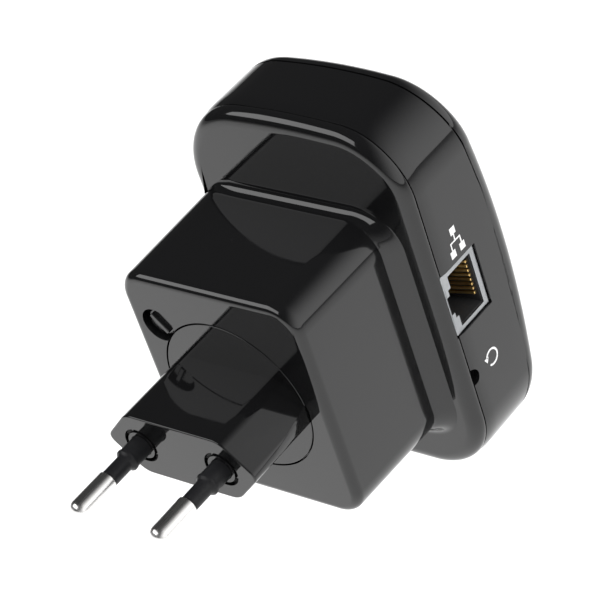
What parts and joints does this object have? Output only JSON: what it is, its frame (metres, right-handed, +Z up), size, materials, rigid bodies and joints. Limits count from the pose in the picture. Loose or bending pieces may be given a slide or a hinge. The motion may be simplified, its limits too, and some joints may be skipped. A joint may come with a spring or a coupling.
{
  "type": "wifi range extender",
  "caption": "Plug-in wifi range extender with a twist-off two-pin plug head, release latch, side LAN jack, reset key and front button.",
  "frame": {"origin": "middle of the plug's engagement face, between the two pins", "axes": "+Y into the wall socket along the pins, +Z up, front panel towards -Y, LAN jack wall on -X"},
  "size_m": [0.0516, 0.0864, 0.0788],
  "materials": {
    "gloss_black": "gloss",
    "pin_metal": "polished",
    "sleeve_plastic": "satin",
    "steel": "satin",
    "spring_bronze": "satin",
    "board": "satin",
    "ferrite": "matte",
    "winding_tape": "satin",
    "can_sleeve": "gloss",
    "can_sleeve_blue": "gloss",
    "choke_wire": "satin",
    "resistor_body": "matte",
    "chip_black": "matte",
    "moulded_black": "matte",
    "gold": "polished",
    "led": "satin",
    "clear_pipe": "polished"
  },
  "bodies": {
    "housing": {"rear_shell": "gloss_black", "side_frame": "gloss_black", "front_panel": "gloss_black", "contact_spring_left": "spring_bronze", "contact_spring_right": "spring_bronze", "power_board": "board", "transformer_core": "ferrite", "transformer_winding": "winding_tape", "bulk_capacitor_1": "can_sleeve", "bulk_capacitor_2": "can_sleeve", "output_capacitor": "can_sleeve_blue", "choke_coil": "choke_wire", "fuse_resistor": "resistor_body", "bridge_rectifier": "chip_black", "supply_chip": "chip_black", "rectifier_diode": "chip_black", "main_board": "board", "board_screw_1": "steel", "board_screw_2": "steel", "board_screw_3": "steel", "board_screw_4": "steel", "board_link": "moulded_black", "rf_shield_can": "steel", "wifi_chip": "chip_black", "lan_magnetics": "chip_black", "flash_chip": "chip_black", "antenna_side": "steel", "antenna_top": "steel", "rj45_shield": "steel", "rj45_insert": "moulded_black", "rj45_contact_1": "gold", "rj45_contact_2": "gold", "rj45_contact_3": "gold", "rj45_contact_4": "gold", "rj45_contact_5": "gold", "rj45_contact_6": "gold", "rj45_contact_7": "gold", "rj45_contact_8": "gold", "reset_switch": "moulded_black", "wps_switch": "steel", "led_1": "led", "light_pipe_1": "clear_pipe", "led_2": "led", "light_pipe_2": "clear_pipe", "led_3": "led", "light_pipe_3": "clear_pipe"},
    "plug": {"plug_head": "gloss_black", "pin_left": "pin_metal", "pin_sleeve_left": "sleeve_plastic", "pin_right": "pin_metal", "pin_sleeve_right": "sleeve_plastic"},
    "latch": {"release_latch": "gloss_black", "latch_spring": "steel"},
    "reset": {"reset_plunger": "moulded_black"},
    "button": {"wps_button": "gloss_black", "wps_switch_stem": "moulded_black"}
  },
  "joints": [
    {"name": "plug_twist", "type": "hinge", "parent": "housing", "child": "plug", "pos_m": [0, -0.0173, 0], "axis": [0, -1, 0], "range_deg": [0, 30]},
    {"name": "latch_press", "type": "slide", "parent": "housing", "child": "latch", "axis": [0, -1, 0], "range_m": [0, 0.0015], "stiffness_N_per_m": 400, "springref_m": -0.001},
    {"name": "reset_press", "type": "slide", "parent": "housing", "child": "reset", "axis": [1, 0, 0], "range_m": [0, 0.0003], "stiffness_N_per_m": 2000, "springref_m": -0.0002},
    {"name": "button_press", "type": "slide", "parent": "housing", "child": "button", "axis": [0, 1, 0], "range_m": [0, 0.0006], "stiffness_N_per_m": 1000, "springref_m": -0.0003}
  ]
}
